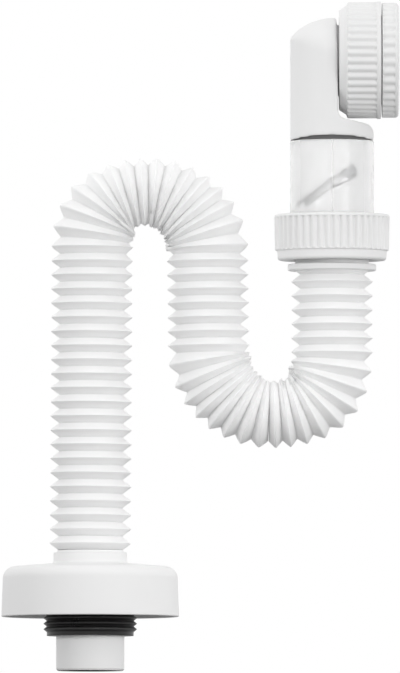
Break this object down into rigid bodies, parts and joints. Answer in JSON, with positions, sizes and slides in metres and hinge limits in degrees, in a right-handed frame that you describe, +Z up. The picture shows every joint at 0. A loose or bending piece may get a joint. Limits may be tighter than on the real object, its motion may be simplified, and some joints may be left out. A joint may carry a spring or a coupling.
{
  "type": "flexible trap",
  "caption": "Flexible waste trap: ribbed sideways inlet over a clear flap-valve body, an S-bent pleated hose and a push-in outlet with finned grommet and rosette.",
  "frame": {"origin": "centre of the outlet spigot's lower end", "axes": "+Z up along the outlet spigot, +X towards the inlet, +Y away from the viewer"},
  "size_m": [0.1864, 0.0834, 0.3145],
  "materials": {
    "white_tube": "satin white polypropylene",
    "white_gloss": "smooth white moulding",
    "white_moulding": "satin white moulding",
    "hose_white": "soft satin white",
    "clear_plastic": "clear polished plastic",
    "grommet_rubber": "matt black rubber",
    "seal_rubber": "matt black rubber",
    "pale_silicone": "soft pale silicone",
    "steel": "bright spring wire"
  },
  "bodies": {
    "outlet": {"outlet_spigot": "white_tube", "outlet_grommet": "grommet_rubber"},
    "escutcheon": {"escutcheon": "white_gloss"},
    "hose": {"hose": "hose_white"},
    "hose_end": {"hose_collar": "white_moulding", "hose_seal": "seal_rubber"},
    "hose_nut": {"hose_nut": "white_moulding"},
    "valve": {"valve_body": "clear_plastic"},
    "elbow": {"inlet_elbow": "white_gloss", "elbow_seal": "seal_rubber", "flap_pin": "steel", "flap_spring": "steel", "inlet_washer": "seal_rubber"},
    "flap": {"flap": "white_moulding", "flap_pad": "pale_silicone"},
    "inlet_nut": {"inlet_union_nut": "white_moulding"},
    "adapter": {"inlet_adapter": "white_moulding"}
  },
  "joints": [
    {"name": "rosette_slide", "type": "slide", "parent": "outlet", "child": "escutcheon", "axis": [0, 0, 1], "range_m": [-0.011, 0]},
    {"name": "hose_lean", "type": "hinge", "parent": "outlet", "child": "hose", "pos_m": [0.0001, 0, 0.08], "axis": [0, 1, 0], "range_deg": [-15, 15], "deforming": ["hose"]},
    {"name": "head_tilt", "type": "hinge", "parent": "hose", "child": "hose_end", "pos_m": [0.1135, 0, 0.165], "axis": [0, 1, 0], "range_deg": [-12, 12], "deforming": ["hose"]},
    {"name": "hose_nut_turn", "type": "hinge", "parent": "hose_end", "child": "hose_nut", "pos_m": [0.1135, 0, 0.20041], "axis": [0, 0, -1], "range_deg": [0, 720]},
    {"name": "valve_lift", "type": "slide", "parent": "hose_end", "child": "valve", "axis": [0, 0, 1], "range_m": [0, 0.00601]},
    {"name": "elbow_swivel", "type": "hinge", "parent": "valve", "child": "elbow", "pos_m": [0.1135, 0, 0.24881], "axis": [0, 0, 1], "continuous": true},
    {"name": "flap_swing", "type": "hinge", "parent": "elbow", "child": "flap", "pos_m": [0.12263, 0, 0.23363], "axis": [0, -1, 0], "range_deg": [0, 50], "stiffness_Nm_per_rad": 0.0008, "springref_deg": -28.65, "deforming": ["flap_spring"]},
    {"name": "inlet_nut_turn", "type": "hinge", "parent": "elbow", "child": "inlet_nut", "pos_m": [0.1245, 0, 0.28691], "axis": [1, 0, 0], "range_deg": [0, 1080]},
    {"name": "adapter_slide", "type": "slide", "parent": "elbow", "child": "adapter", "axis": [1, 0, 0], "range_m": [0, 0.00901]}
  ],
  "couplings": [
    {"joint": "valve_lift", "follows": "hose_nut_turn", "m_per_rad": 0.00047746},
    {"joint": "adapter_slide", "follows": "inlet_nut_turn", "m_per_rad": 0.00047746}
  ]
}
